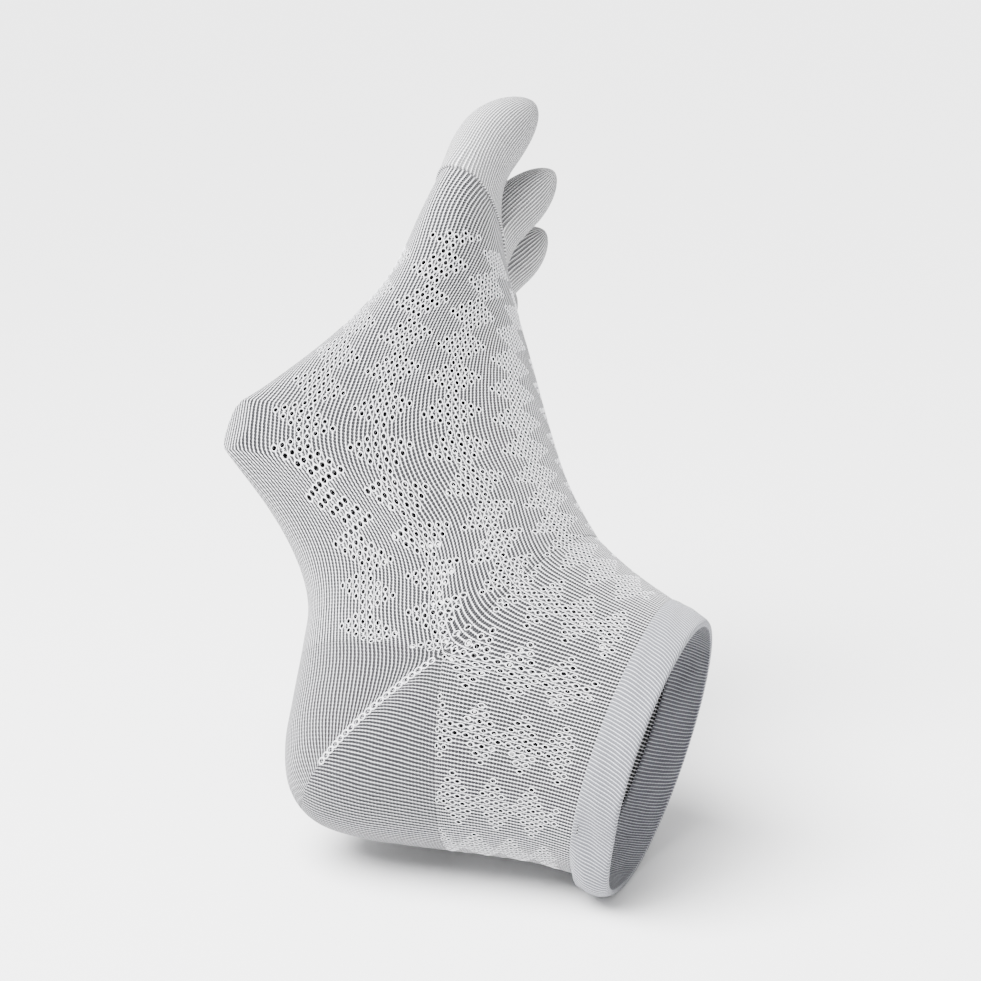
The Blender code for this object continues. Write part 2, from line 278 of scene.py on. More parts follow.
def knit_shell(name, grid, counts, density, gone=None, turn_over=False, mitre=None, ring=False,
               joined=()):
    """A knitted wall from a grid of points, with its stitch counts as a UV map.

    counts holds the wale and the course at every grid point, with one more column than the
    grid where it is a closed tube. density is 0 where the stitches stand open and 1 where
    they lie tight. A mitre is the row where other counts take over, and those counts. A ring
    is a wall already, whose last row lies on its first. Gaps close at the rows in joined.
    """
    rings, columns = grid.shape[:2]
    closed = counts[0].shape[1] > columns
    spans = columns if closed else columns - 1
    row, column = np.meshgrid(np.arange(rings - 1), np.arange(spans), indexing="ij")
    kept = np.ones(row.shape, bool) if gone is None else ~gone[:, :spans]
    row, column = row[kept], column[kept]
    corners = [(row, column), (row, column + 1), (row + 1, column + 1), (row + 1, column)]
    if turn_over:
        corners.reverse()
    faces = np.stack([r * columns + c % columns for r, c in corners], axis=1)
    mesh = bpy.data.meshes.new(name)
    if ring:
        faces = np.where(faces >= (rings - 1) * columns, faces % columns, faces)
    mesh.from_pydata(grid.reshape(-1, 3).tolist(), [], faces.tolist())
    stitches = mesh.uv_layers.new(name="stitches")
    loops = np.stack([np.stack([count[r, c] for count in counts], 1) for r, c in corners], 1)
    if mitre is not None:
        other = np.stack([np.stack([count[r, c] for count in mitre[1]], 1) for r, c in corners], 1)
        loops = np.where((row >= mitre[0])[:, None, None], other, loops)
    stitches.data.foreach_set("uv", loops.astype(np.float32).ravel())
    tight = mesh.attributes.new("tight", "FLOAT", "POINT")
    density = np.broadcast_to(density, (rings, columns))
    tight.data.foreach_set("value", density.astype(np.float32).ravel())
    closed_up = np.zeros((rings, columns)) if gone is None else rim_of(gone)
    closed_up[list(joined)] = JOIN_CLOSES
    rim = mesh.attributes.new("rim", "FLOAT", "POINT")
    rim.data.foreach_set("value", closed_up.ravel())
    mesh.shade_smooth()
    shell = bpy.data.objects.new(name, mesh)
    bpy.context.scene.collection.objects.link(shell)
    if ring:
        return shell
    layer = shell.modifiers.new("wall", "SOLIDIFY")
    layer.thickness = KNIT_THICK
    layer.offset = -1.0
    depsgraph = bpy.context.evaluated_depsgraph_get()
    solid = bpy.data.meshes.new_from_object(shell.evaluated_get(depsgraph))
    shell.modifiers.remove(layer)
    shell.data = solid
    solid.name = name
    bpy.data.meshes.remove(mesh)
    return shell


class Signal:
    """A shader socket that takes part in sums."""

    def __init__(self, tree, socket=None):
        self.tree = tree
        self.socket = socket

    def node(self, kind, settings, inputs, out=0):
        made = self.tree.nodes.new(kind)
        for key, value in settings.items():
            setattr(made, key, value)
        for key, value in inputs.items():
            if isinstance(value, Signal):
                self.tree.links.new(value.socket, made.inputs[key])
            else:
                made.inputs[key].default_value = value
        return Signal(self.tree, made.outputs[out])

    def maths(self, operation, *values, clamp=False):
        return self.node("ShaderNodeMath", {"operation": operation, "use_clamp": clamp},
                         dict(enumerate(values)))

    def __add__(self, other):
        return self.maths("ADD", self, other)

    def __sub__(self, other):
        return self.maths("SUBTRACT", self, other)

    def __mul__(self, other):
        return self.maths("MULTIPLY", self, other)

    def __rsub__(self, other):
        return self.maths("SUBTRACT", other, self)

    __radd__ = __add__
    __rmul__ = __mul__

    def mix(self, low, high):
        """From colour low to colour high as this signal goes from 0 to 1."""
        return self.node("ShaderNodeMix", {"data_type": "RGBA"}, {0: self, 6: low, 7: high}, out=2)


GAP_EDGE = 0.01           # how deep in the valley between two wales the painted shade of the gap starts
GAP_SHARPNESS = 8.0
GAP_ROUND = 0.4           # a low power makes the gaps between loops long, 1 makes them small
TIGHT_GAP = (0.4, 0.5)    # where stitches lie tight: how far a gap swells, and its narrowest
RIM_CLOSES = 0.35         # how far the gaps close beside an eyelet
WANDER = 0.3              # how far stitches stray from their rows, in stitches
LOOP_LEAN = 0.7           # how far the two legs of a loop lean, in courses
FUZZ_TINT = 0.5           # how much the fibres differ in shade
CLOUD_TINT = 0.25         # and how much wider patches do
YARN_SHADES = (0.82, 1.16)
WALE_HEIGHT = 0.7         # shares of the relief that wales, loops and fibres make
LOOP_HEIGHT = 0.35
FUZZ_HEIGHT = 0.35


def knit_yarn(name, yarn, shade, gap_depth, loop_height):
    """Cotton knit: light wales, with painted shade, a near-black colour, in the gap between the loops
    of each course.
    """
    material = bpy.data.materials.new(name)
    material.use_nodes = True
    tree = material.node_tree
    surface = tree.nodes["Principled BSDF"]
    pen = Signal(tree)
    uv = pen.node("ShaderNodeUVMap", {"uv_map": "stitches"}, {})
    wale = pen.node("ShaderNodeSeparateXYZ", {}, {0: uv}, out=0)
    course = pen.node("ShaderNodeSeparateXYZ", {}, {0: uv}, out=1)
    tight = pen.node("ShaderNodeAttribute", {"attribute_name": "tight"}, {}, out=2)
    position = pen.node("ShaderNodeTexCoord", {}, {}, out=3)
    wander = pen.node("ShaderNodeTexNoise", {"noise_dimensions": "3D"},
                      {"Vector": position, "Scale": 260.0, "Detail": 3.0, "Roughness": 0.6})
    fuzz = pen.node("ShaderNodeTexNoise", {"noise_dimensions": "3D"},
                    {"Vector": position, "Scale": 1500.0, "Detail": 2.0, "Roughness": 0.7})
    cloud = pen.node("ShaderNodeTexNoise", {"noise_dimensions": "3D"},
                     {"Vector": position, "Scale": 45.0, "Detail": 2.0, "Roughness": 0.5})
    across = (wale + (wander - 0.5) * WANDER) * (2 * math.pi)
    ridge = across.maths("COSINE", across) * 0.5 + 0.5
    lean = pen.maths("ABSOLUTE", pen.maths("PINGPONG", wale, 0.5))
    along = (course + lean * LOOP_LEAN + (wander - 0.5) * WANDER) * (2 * math.pi)
    loop = along.maths("COSINE", along) * 0.5 + 0.5
    together = loop * TIGHT_GAP[0] + TIGHT_GAP[1]
    dots = pen.maths("POWER", loop, GAP_ROUND) * (1 - tight) + tight * together
    rim = pen.node("ShaderNodeAttribute", {"attribute_name": "rim"}, {}, out=2)
    # The gap's dark colour is painted shade: it stands in for the shadow seen through the open knit.
    gap = ((1 - ridge) * dots - GAP_EDGE) * (1 - rim * RIM_CLOSES) * (gap_depth * GAP_SHARPNESS)
    gap = pen.maths("MINIMUM", pen.maths("MAXIMUM", gap, 0.0), gap_depth)
    tint = (fuzz - 0.5) * FUZZ_TINT + (cloud - 0.5) * CLOUD_TINT
    bright = pen.maths("ADD", 0.5, tint, clamp=True)
    dark, light = ((*(min(c * part, 1) for c in yarn), 1.0) for part in YARN_SHADES)
    # Painted shade: in the gaps the near-black colour shade takes the place of the yarn's colour.
    colour = gap.mix(bright.mix(dark, light), (*shade, 1.0))
    tree.links.new(colour.socket, surface.inputs["Base Color"])
    height = ridge * WALE_HEIGHT + loop * ridge * LOOP_HEIGHT + (fuzz - 0.5) * FUZZ_HEIGHT
    bump = pen.node("ShaderNodeBump", {}, {"Strength": 1.0, "Distance": loop_height, "Height": height})
    tree.links.new(bump.socket, surface.inputs["Normal"])
    surface.inputs["Roughness"].default_value = 0.88
    surface.inputs["Specular IOR Level"].default_value = 0.25
    surface.inputs["Sheen Weight"].default_value = 0.2
    surface.inputs["Sheen Roughness"].default_value = 0.45
    return material


LOOP_CORNERS = 10
STRAND_CORNERS = 5


def yarn_loops(name, places, facing, ways, sizes, yarn_share, yarn):
    """Small rings of yarn, one at each place, made by Geometry Nodes and turned into a mesh.

    A ring faces out along facing with its length along ways. sizes are its half width and
    half length, and yarn_share is the yarn's half thickness as a share of those.
    """
    dots = bpy.data.meshes.new(name)
    dots.from_pydata(np.asarray(places).tolist(), [], [])
    scales = np.concatenate((sizes, np.min(sizes, axis=1, keepdims=True)), axis=1)
    for key, values in (("facing", facing), ("way", ways), ("size", scales)):
        column = dots.attributes.new(key, "FLOAT_VECTOR", "POINT")
        column.data.foreach_set("vector", np.asarray(values).astype(np.float32).ravel())
    rings = bpy.data.objects.new(name, dots)
    bpy.context.scene.collection.objects.link(rings)
    tree = bpy.data.node_groups.new(name, "GeometryNodeTree")
    tree.interface.new_socket("Geometry", in_out="INPUT", socket_type="NodeSocketGeometry")
    share = tree.interface.new_socket("Yarn Share", in_out="INPUT", socket_type="NodeSocketFloat")
    tree.interface.new_socket("Geometry", in_out="OUTPUT", socket_type="NodeSocketGeometry")
    start, end = tree.nodes.new("NodeGroupInput"), tree.nodes.new("NodeGroupOutput")
    circle = tree.nodes.new("GeometryNodeCurvePrimitiveCircle")
    circle.inputs["Resolution"].default_value = LOOP_CORNERS
    circle.inputs["Radius"].default_value = 1.0
    strand = tree.nodes.new("GeometryNodeCurvePrimitiveCircle")
    strand.inputs["Resolution"].default_value = STRAND_CORNERS
    swept = tree.nodes.new("GeometryNodeCurveToMesh")
    on_points = tree.nodes.new("GeometryNodeInstanceOnPoints")
    face_out = tree.nodes.new("FunctionNodeAlignRotationToVector")
    face_out.axis = "Z"
    turn_to = tree.nodes.new("FunctionNodeAlignRotationToVector")
    turn_to.axis = "Y"
    turn_to.pivot_axis = "Z"
    real = tree.nodes.new("GeometryNodeRealizeInstances")
    paint = tree.nodes.new("GeometryNodeSetMaterial")
    paint.inputs["Material"].default_value = yarn
    join = tree.links.new
    read = {}
    for key in ("facing", "way", "size"):
        read[key] = tree.nodes.new("GeometryNodeInputNamedAttribute")
        read[key].data_type = "FLOAT_VECTOR"
        read[key].inputs["Name"].default_value = key
    join(start.outputs["Yarn Share"], strand.inputs["Radius"])
    join(circle.outputs["Curve"], swept.inputs["Curve"])
    join(strand.outputs["Curve"], swept.inputs["Profile Curve"])
    join(start.outputs["Geometry"], on_points.inputs["Points"])
    join(swept.outputs["Mesh"], on_points.inputs["Instance"])
    join(read["facing"].outputs["Attribute"], face_out.inputs["Vector"])
    join(face_out.outputs["Rotation"], turn_to.inputs["Rotation"])
    join(read["way"].outputs["Attribute"], turn_to.inputs["Vector"])
    join(turn_to.outputs["Rotation"], on_points.inputs["Rotation"])
    join(read["size"].outputs["Attribute"], on_points.inputs["Scale"])
    join(on_points.outputs["Instances"], real.inputs["Geometry"])
    join(real.outputs["Geometry"], paint.inputs["Geometry"])
    join(paint.outputs["Geometry"], end.inputs["Geometry"])
    maker = rings.modifiers.new("rings", "NODES")
    maker.node_group = tree
    maker[share.identifier] = yarn_share
    depsgraph = bpy.context.evaluated_depsgraph_get()
    made = bpy.data.meshes.new_from_object(rings.evaluated_get(depsgraph))
    rings.modifiers.remove(maker)
    rings.data = made
    made.name = name
    made.shade_smooth()
    bpy.data.meshes.remove(dots)
    bpy.data.node_groups.remove(tree)
    return rings


def unit(vectors):
    """The vectors at length 1."""
    return vectors / np.linalg.norm(vectors, axis=-1, keepdims=True)


def eyelet_rims(grid, marks, outer):
    """Where each eyelet's rim goes: its place, facing, way, and half width and half length."""
    row, wale = np.array(marks).T
    columns = grid.shape[1]
    left, centre, right = (2 * wale - 1) % columns, 2 * wale, (2 * wale + 1) % columns
    far_left, far_right = ((grid[row, side] + grid[row + 1, side]) / 2 for side in (left, right))
    over, along = far_right - far_left, grid[row + 1, centre] - grid[row, centre]
    facing = unit(np.cross(over, along)) * outer
    sizes = np.stack((np.linalg.norm(over, axis=1), np.linalg.norm(along, axis=1)), 1)
    return (far_left + far_right) / 2, facing, along, sizes / 2


EASE_PASSES = 70          # passes that let the stitches slide even, away from the peak
EASE_SHARES = (0.10, 0.26, 0.80, 0.95)  # shares along the foot between which they slide
EASE_CLEAR = 0.030        # stretch beside the peak over which the sliding gains strength
EASE_START = 0.35         # share of that stretch in which nothing slides
EASE_ALONG = 0.45
EASE_AROUND = 0.15
FOOT_TIGHT = 0.12         # how tight the stitches lie in the lace, at the toes and in the sole
TOE_END_TIGHT = 0.05
SOLE_TIGHT = 0.3
TOE_END = (0.72, 0.92)    # shares along the foot between which the lace's hold gives way
SOLE_SIDE = (0.20, 0.30)  # and shares of the way from the sole to the instep
RIM_SHARE = 0.17          # half thickness of an eyelet's rim, as a share of the eyelet
foot_share = np.linspace(0, 1, FOOT_RINGS + 1)
foot_rows = between(FOOT_ROWS, foot_share)
drawn_share = smooth(np.interp(foot_share, PEAK_SPAN, (0, 1, 0)))
ball_share = smooth(np.interp(foot_share, BALL_SPAN, (0, 1)))
foot_turns = np.array([round_turns(*values) for values in zip(foot_rows, drawn_share, ball_share)])
foot_grid = place(drawn_out(section(foot_rows[:, None, :], foot_turns)))
peak = foot_grid[np.abs(foot_share - PEAK_AT[0]).argmin(), 2 * PEAK_WALE]
from_peak = np.linalg.norm(foot_grid - peak, axis=2)
eased = np.interp(foot_share, EASE_SHARES, (0, 1, 1, 0))[:, None]
eased = (eased * np.clip(from_peak / EASE_CLEAR - EASE_START, 0, 1) ** 2)[:, :, None]
for step in range(EASE_PASSES):
    beside = (np.roll(foot_grid, 1, axis=1) + np.roll(foot_grid, -1, axis=1)) / 2
    middle = (foot_grid[:-2] + foot_grid[2:]) / 2
    foot_grid[1:-1] += EASE_ALONG * eased[1:-1] * (middle - foot_grid[1:-1])
    foot_grid += EASE_AROUND * eased * (beside - foot_grid)

# Leg: the same lace tube goes on from the instep round the ankle up to the welt. Its back
# half ends at the heel, where the stitches were left waiting.
LEG_ROWS = np.array((
    (0.000, 0.176, 0.000, 0.000, 0.000, -0.161, 0.366, 0.364, 2.0, 2.0, 0.0),
    (-0.111, 0.193, -0.111, 0.000, -0.111, -0.160, 0.354, 0.352, 2.0, 2.0, 0.0),
    (-0.213, 0.209, -0.250, -0.002, -0.221, -0.163, 0.360, 0.358, 2.0, 2.0, 0.0),
    (-0.296, 0.225, -0.400, -0.006, -0.333, -0.172, 0.381, 0.375, 2.0, 2.0, 0.0),
    (-0.370, 0.243, -0.545, -0.013, -0.440, -0.183, 0.394, 0.386, 2.0, 2.0, 0.0),
))
CUFF_HEIGHT = 0.0115
CUFF_SHARE = CUFF_HEIGHT / (-LEG_ROWS[1][0] * ANKLE_HEIGHT) / (len(LEG_ROWS) - 1)
LEG_RINGS = 32
LEG_TUCK = 0.03           # share of the leg that goes up under the welt
LEG_TIGHT = 0.12
LEG_PLAIN_RINGS = 5       # rings under the welt with no lace
LEG_CHART_ROW = 3         # the chart's row at which the leg takes over from the foot
leg_share = np.linspace(CUFF_SHARE - LEG_TUCK, 1, LEG_RINGS + 1)[::-1]
leg_rows = between(LEG_ROWS, leg_share)
leg_turns = np.array([round_turns(row) for row in leg_rows])
leg_grid = place(section(leg_rows[:, None, :], leg_turns))


ANKLE_PASSES = 60
ANKLE_REACH = (24, 30)    # rings of the leg and of the foot that bend round the ankle
ANKLE_SIDE = 18           # columns over which the bending starts at each side
ANKLE_RISE = 1.3          # how fast it gains strength from ring to ring
ANKLE_ALONG = 0.9
ANKLE_AROUND = 0.3
ANKLE_PRESS = 6           # passes from one pressing on to the skin to the next


def ease_ankle(leg_points, foot_points):
    """Let the wales bend gently round the ankle, sliding on the knit's own surface."""
    joint = leg_points.shape[0] - 1
    lines = np.concatenate((leg_points[::-1], foot_points[1:]))
    first, last = WALES // 2, WALES // 2 + WALES
    reach = ANKLE_REACH
    front = lines[joint - reach[0]:joint + reach[1] + 1, first:last + 1]
    rows, columns = front.shape[:2]
    corner = (np.arange(rows - 1)[:, None] * columns + np.arange(columns - 1)).ravel()
    quads = np.stack((corner, corner + 1, corner + columns + 1, corner + columns), axis=1)
    skin = BVHTree.FromPolygons(front.reshape(-1, 3).tolist(), quads.tolist())
    across = np.minimum(np.arange(columns), np.arange(columns)[::-1]) / ANKLE_SIDE
    along = np.minimum(np.arange(rows) / reach[0], (rows - 1 - np.arange(rows)) / reach[1])
    weight = smooth(np.clip(along * ANKLE_RISE, 0, 1))[:, None] * np.clip(across, 0, 1)[None, :]
    for step in range(ANKLE_PASSES):
        middle = (front[:-2] + front[2:]) / 2
        front[1:-1] += ANKLE_ALONG * weight[1:-1, :, None] * (middle - front[1:-1])
        beside = (front[:, :-2] + front[:, 2:]) / 2
        front[:, 1:-1] += ANKLE_AROUND * weight[:, 1:-1, None] * (beside - front[:, 1:-1])
        if step % ANKLE_PRESS == ANKLE_PRESS - 1:
            flat = [skin.find_nearest(Vector(point))[0] for point in front.reshape(-1, 3)]
            front[:] = np.array(flat).reshape(front.shape)
    leg_points[:, first:last + 1] = lines[joint::-1, first:last + 1]
    foot_points[:, first:last + 1] = lines[joint:, first:last + 1]


ease_ankle(leg_grid, foot_grid)
lace_wales = (LACE_SOLE_EDGE, WALES - LACE_SOLE_EDGE)
foot_marks = lace_marks(round(FOOT_RINGS * LACE_TOE_EDGE), 0, lace_wales)
foot_gone = open_eyelets(foot_grid, foot_marks)
tube_wales = np.arange(2 * WALES + 1) / 2
foot_wales, foot_courses = np.meshgrid(
    tube_wales, np.arange(FOOT_RINGS + 1) * RING_COURSES + FIRST_COURSE)
sole_way = np.abs((foot_wales[:, :-1] + WALES / 2) % WALES - WALES / 2) / (WALES / 2)
foot_tight = np.interp(foot_share, TOE_END, (FOOT_TIGHT, TOE_END_TIGHT))[:, None]
foot_tight = np.maximum(foot_tight, np.interp(sole_way, SOLE_SIDE, (SOLE_TIGHT, 0)))
foot = knit_shell("foot_knit", foot_grid, (foot_wales, foot_courses), foot_tight, foot_gone,
                  joined=(-1,))
# The second colour of each yarn is the painted shade in the gaps between its loops; the rim yarn has
# no gaps.
lace_yarn = knit_yarn("lace_yarn", (0.82, 0.82, 0.85), (0.012, 0.012, 0.014), 1.0, 0.00025)
rim_yarn = knit_yarn("rim_yarn", (0.82, 0.82, 0.85), (0.82, 0.82, 0.85), 0.0, 0.00005)
foot.data.materials.append(lace_yarn)
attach(foot, "root")
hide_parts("foot")
foot_rims = yarn_loops("foot_rims", *eyelet_rims(foot_grid, foot_marks, 1), RIM_SHARE, rim_yarn)
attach(foot_rims, "root")

leg_marks = lace_marks(LEG_RINGS - LEG_PLAIN_RINGS, LEG_CHART_ROW, (0, WALES))
leg_gone = open_eyelets(leg_grid, leg_marks)
leg_wales, leg_courses = np.meshgrid(
    tube_wales, FIRST_COURSE - np.arange(LEG_RINGS + 1) * RING_COURSES)
leg = knit_shell("leg_knit", leg_grid, (leg_wales, leg_courses), LEG_TIGHT, leg_gone, turn_over=True)
leg.data.materials.append(lace_yarn)
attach(leg, "root")
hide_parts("leg")
leg_rims = yarn_loops("leg_rims", *eyelet_rims(leg_grid, leg_marks, -1), RIM_SHARE, rim_yarn)
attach(leg_rims, "root")

# Cuff: a plain double-layer welt, turned over at the mouth and linked down inside, with a
# pucker behind the ankle. Its wales lean a little, as the welt is twisted when it is put on.
PUCKERS = ((-0.05, 0.30, 1.00), (0.52, 0.20, -0.40))  # turn from the back, width, height
PUCKER_HEIGHT = 0.0032
CUFF_STAND = 0.0008       # how far the welt stands out from the leg
CUFF_THICK = 0.0018
CUFF_TWIST = 0.10         # how far its mouth is turned against its seam, in radians
TWIST_EASE = 1.3          # how the twist gathers towards the mouth
CUFF_EDGE = 0.05          # share of its height where the turned edge starts
EDGE_SET, EDGE_ROUND = 0.02, 0.035  # where that edge bends from and how far it bulges
CUFF_RIPPLE = 0.00022
RIPPLES = 9               # ripples round the welt
CUFF_COURSE = 0.0008
CUFF_TIGHT = 0.8
# Down the welt: share of its height, and how far it and its pucker stand out there.
CUFF_ROWS = np.array((
    (0.00, 0.5, 0.60),
    (0.12, 0.8, 0.75),
    (0.35, 1.0, 0.95),
    (0.62, 1.0, 1.00),
    (0.85, 0.9, 0.75),
    (1.00, 0.3, 0.00),
))
# Up the outside, over the turned edge at the mouth and down the inside.
cuff_steps = [(step, 0.0) for step in np.linspace(1.0, CUFF_EDGE, 18)]
cuff_steps += [(EDGE_SET - EDGE_ROUND * math.sin(bend), 0.5 - 0.5 * math.cos(bend))
               for bend in np.linspace(0.4, 2.74, 6)]
cuff_steps += [(step, 1.0) for step in np.linspace(CUFF_EDGE, 1.0, 12)]
cuff_steps += [cuff_steps[0]]
cuff_turn = round_turns(LEG_ROWS[0])
cuff_rings = []
for step, inside in cuff_steps:
    swell, lift = (np.interp(step, CUFF_ROWS[:, 0], CUFF_ROWS[:, k]) for k in (1, 2))
    turn = cuff_turn - CUFF_TWIST * (1 - step) ** TWIST_EASE if step < 1 else cuff_turn
    behind = (turn + math.pi) % (2 * math.pi) - math.pi
    fold = sum(height * np.exp(-((behind - at) / width) ** 2) for at, width, height in PUCKERS)
    ripple = CUFF_RIPPLE * math.sin(math.pi * min(max(step, 0), 1))
    ripple = ripple * np.sin(RIPPLES * turn + 2.2 * math.sin(5 * step))
    stand = CUFF_STAND * swell + PUCKER_HEIGHT * lift * fold + ripple - inside * CUFF_THICK
    out = np.stack((np.zeros_like(turn), -np.cos(turn), -np.sin(turn)), axis=1)
    ring = section(between(LEG_ROWS, CUFF_SHARE * step), turn)
    if step < 0:
        ring[:, 0] -= step * CUFF_HEIGHT
    cuff_rings.append(ring + out * stand[:, None])
cuff_grid = place(np.array(cuff_rings))
cuff_run = np.cumsum([0] + [np.linalg.norm(b[0] - a[0]) for a, b in zip(cuff_grid, cuff_grid[1:])])
cuff_wales, cuff_courses = np.meshgrid(tube_wales, cuff_run / CUFF_COURSE)
cuff = knit_shell("cuff_knit", cuff_grid, (cuff_wales, cuff_courses), CUFF_TIGHT, ring=True)
# Painted shade: the welt's yarn is a darker copy of the lace yarn, standing in for the shade on the
# welt, and its second colour is the painted shade in the gaps.
cuff_yarn_shaded = knit_yarn("cuff_yarn_shaded", (0.53, 0.54, 0.585), (0.06, 0.062, 0.072), 0.9, 0.00022)
cuff.data.materials.append(cuff_yarn_shaded)
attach(cuff, "root")
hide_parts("cuff")

# Heel: a plain cup turned in short rows. The wales of its leg half run with the leg and those
# of its sole half with the foot, and they meet in a mitre along the gore on each side.
HEEL_COLUMNS = 216
HEEL_RINGS = 100
GORE_SHARE = 0.47         # share of the way round the heel from the leg to the gore
HEEL_COURSE = 0.00095
HEEL_TIGHT = 0.15
SOLE_LEAN = 0.60          # how far the foot's wales lean as they come into the heel
LEAN_FADE = 0.012         # and over what stretch they straighten
GORE_BOW = 0.0028         # stretch along the gore over which the wales bow towards it
BOW_FADE = 4              # bows' lengths from the gore tips within which the bow fades
# The heel's back line, turned from the leg to the sole about the gore tips.
#     leg    foot   back full
HEEL_BACK = np.array((
    (-0.440, -0.183, 2.0),
    (-0.560, -0.195, 2.0),
    (-0.675, -0.205, 2.0),
    (-0.790, -0.206, 2.0),
    (-0.872, -0.186, 2.1),
    (-0.925, -0.145, 2.2),
    (-0.957, -0.092, 2.3),
    (-0.985, -0.040, 2.4),
))


def heel_section(share, turn):
    """The heel turns about the gore tips, so only a section's back half changes."""
    back = between(HEEL_BACK, share)
    rows = np.broadcast_to(FOOT_ROWS[0], back.shape[:-1] + FOOT_ROWS[0].shape).copy()
    rows[..., 4:6] = back[..., :2]
    rows[..., 9] = back[..., 2]
    return section(rows, turn)


heel_share = np.linspace(0, 1, HEEL_RINGS + 1)
leg_edge = even_turns(lambda turn: section(LEG_ROWS[-1], turn), -90, 90, HEEL_COLUMNS)
sole_edge = even_turns(lambda turn: drawn_out(section(FOOT_ROWS[0], turn)), -90, 90, HEEL_COLUMNS)
heel_turns = np.radians(leg_edge + heel_share[:, None] * (sole_edge - leg_edge))
heel_points = heel_section(heel_share[:, None] * np.ones_like(heel_turns), heel_turns)
heel_grid = place(drawn_out(heel_points))
tip_leg, tip_foot = FOOT_ROWS[0][2] * ANKLE_HEIGHT, FOOT_ROWS[0][3] * FOOT_LENGTH
edge_wales = np.linspace(-WALES / 4, WALES / 4, HEEL_COLUMNS + 1)


def angle_wales(points, depth, edge, shift):
    """The wale that a point lies on: lines that keep their angle to the gore tips, but bow."""
    angle = np.arctan2(-points[..., 2], depth(points) + shift)
    edge_angle = np.arctan2(-edge[..., 2], depth(edge))
    return np.interp(angle, edge_angle, edge_wales)


gore_ring = round(GORE_SHARE * HEEL_RINGS)
off_gore = np.linalg.norm(heel_points - heel_points[gore_ring], axis=2)
off_tip = np.hypot(tip_leg - heel_points[..., 0], tip_foot - heel_points[..., 1])
bow = GORE_BOW * np.exp(-off_gore / GORE_BOW) * np.clip(off_tip / (BOW_FADE * GORE_BOW), 0, 1)
into_heel = heel_points[-1][:, 1] - heel_points[..., 1]
lean = SOLE_LEAN * LEAN_FADE * (1 - np.exp(-np.clip(into_heel, 0, None) / LEAN_FADE))
leg_wale = angle_wales(heel_points, lambda p: tip_foot - p[..., 1], heel_points[0], -bow)
sole_wale = angle_wales(heel_points, lambda p: tip_leg - p[..., 0], heel_points[-1], lean - bow)
leg_edge_height = np.interp(leg_wale, edge_wales, heel_points[0][:, 0])
sole_edge_place = np.interp(sole_wale, edge_wales, heel_points[-1][:, 1])
leg_course = (leg_edge_height - heel_points[..., 0]) / HEEL_COURSE + FIRST_COURSE
sole_course = (heel_points[..., 1] - sole_edge_place) / HEEL_COURSE + FIRST_COURSE
heel = knit_shell("heel_knit", heel_grid, (leg_wale, leg_course), HEEL_TIGHT,
                  mitre=(gore_ring, (sole_wale, sole_course)))
# Painted shade: the heel's yarn is a darker copy of the lace yarn, standing in for the shade on the
# heel's underside, and its second colour is the painted shade in the gaps.
plain_yarn_shaded = knit_yarn("plain_yarn_shaded", (0.59, 0.59, 0.615), (0.014, 0.014, 0.016), 1.0, 0.00025)
heel.data.materials.append(plain_yarn_shaded)
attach(heel, "root")
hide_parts("heel_pocket")

# Gore: where the heel's courses turn, the short rows are picked up in a chain of larger loops.
# It runs from each ankle tip towards the back of the heel.
GORE_STEP = 0.0022        # from one picked-up loop to the next
GORE_LOOP = (0.00075, 0.00105)  # half width and half length
GORE_LOOP_SHARE = 0.22    # half thickness of the yarn, as a share of the loop
GORE_LIFT = 0.0001        # how far the loops lie above the knit
GORE_TURNS = (35, 88)     # degrees from the back between which the loops run
GORE_BESIDE = 4           # rings to each side that give the loops their facing


def chain_along(line, facing, step, size):
    """Loops in a row along a line, each one step from the last."""
    run = np.concatenate(([0], np.cumsum(np.linalg.norm(np.diff(line, axis=0), axis=1))))
    at = np.arange(step / 2, run[-1], step)
    places, out = (np.stack([np.interp(at, run, values[:, k]) for k in range(3)], 1)
                   for values in (line, facing))
    ahead = np.stack([np.interp(at + step / 4, run, line[:, k]) for k in range(3)], 1) - places
    return places, unit(out), ahead, np.broadcast_to(size, (len(at), 2))


gore_chains = []
gore_degrees = np.abs(np.degrees(heel_turns[gore_ring]))
for gore_side in (-1, 1):
    on_gore = (gore_degrees > GORE_TURNS[0]) & (gore_degrees < GORE_TURNS[1])
    on_gore &= np.sign(heel_turns[gore_ring]) == gore_side
    gore_line = heel_grid[gore_ring][on_gore]
    gore_back = heel_grid[gore_ring + GORE_BESIDE] - heel_grid[gore_ring - GORE_BESIDE]
    gore_facing = unit(np.cross(np.gradient(gore_line, axis=0), gore_back[on_gore]))
    gore_line = gore_line + GORE_LIFT * gore_facing
    gore_chains.append(chain_along(gore_line, gore_facing, GORE_STEP, GORE_LOOP))
gore_all = [np.concatenate(parts) for parts in zip(*gore_chains)]
gore_loops = yarn_loops("gore_loops", *gore_all, GORE_LOOP_SHARE, rim_yarn)
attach(gore_loops, "root")

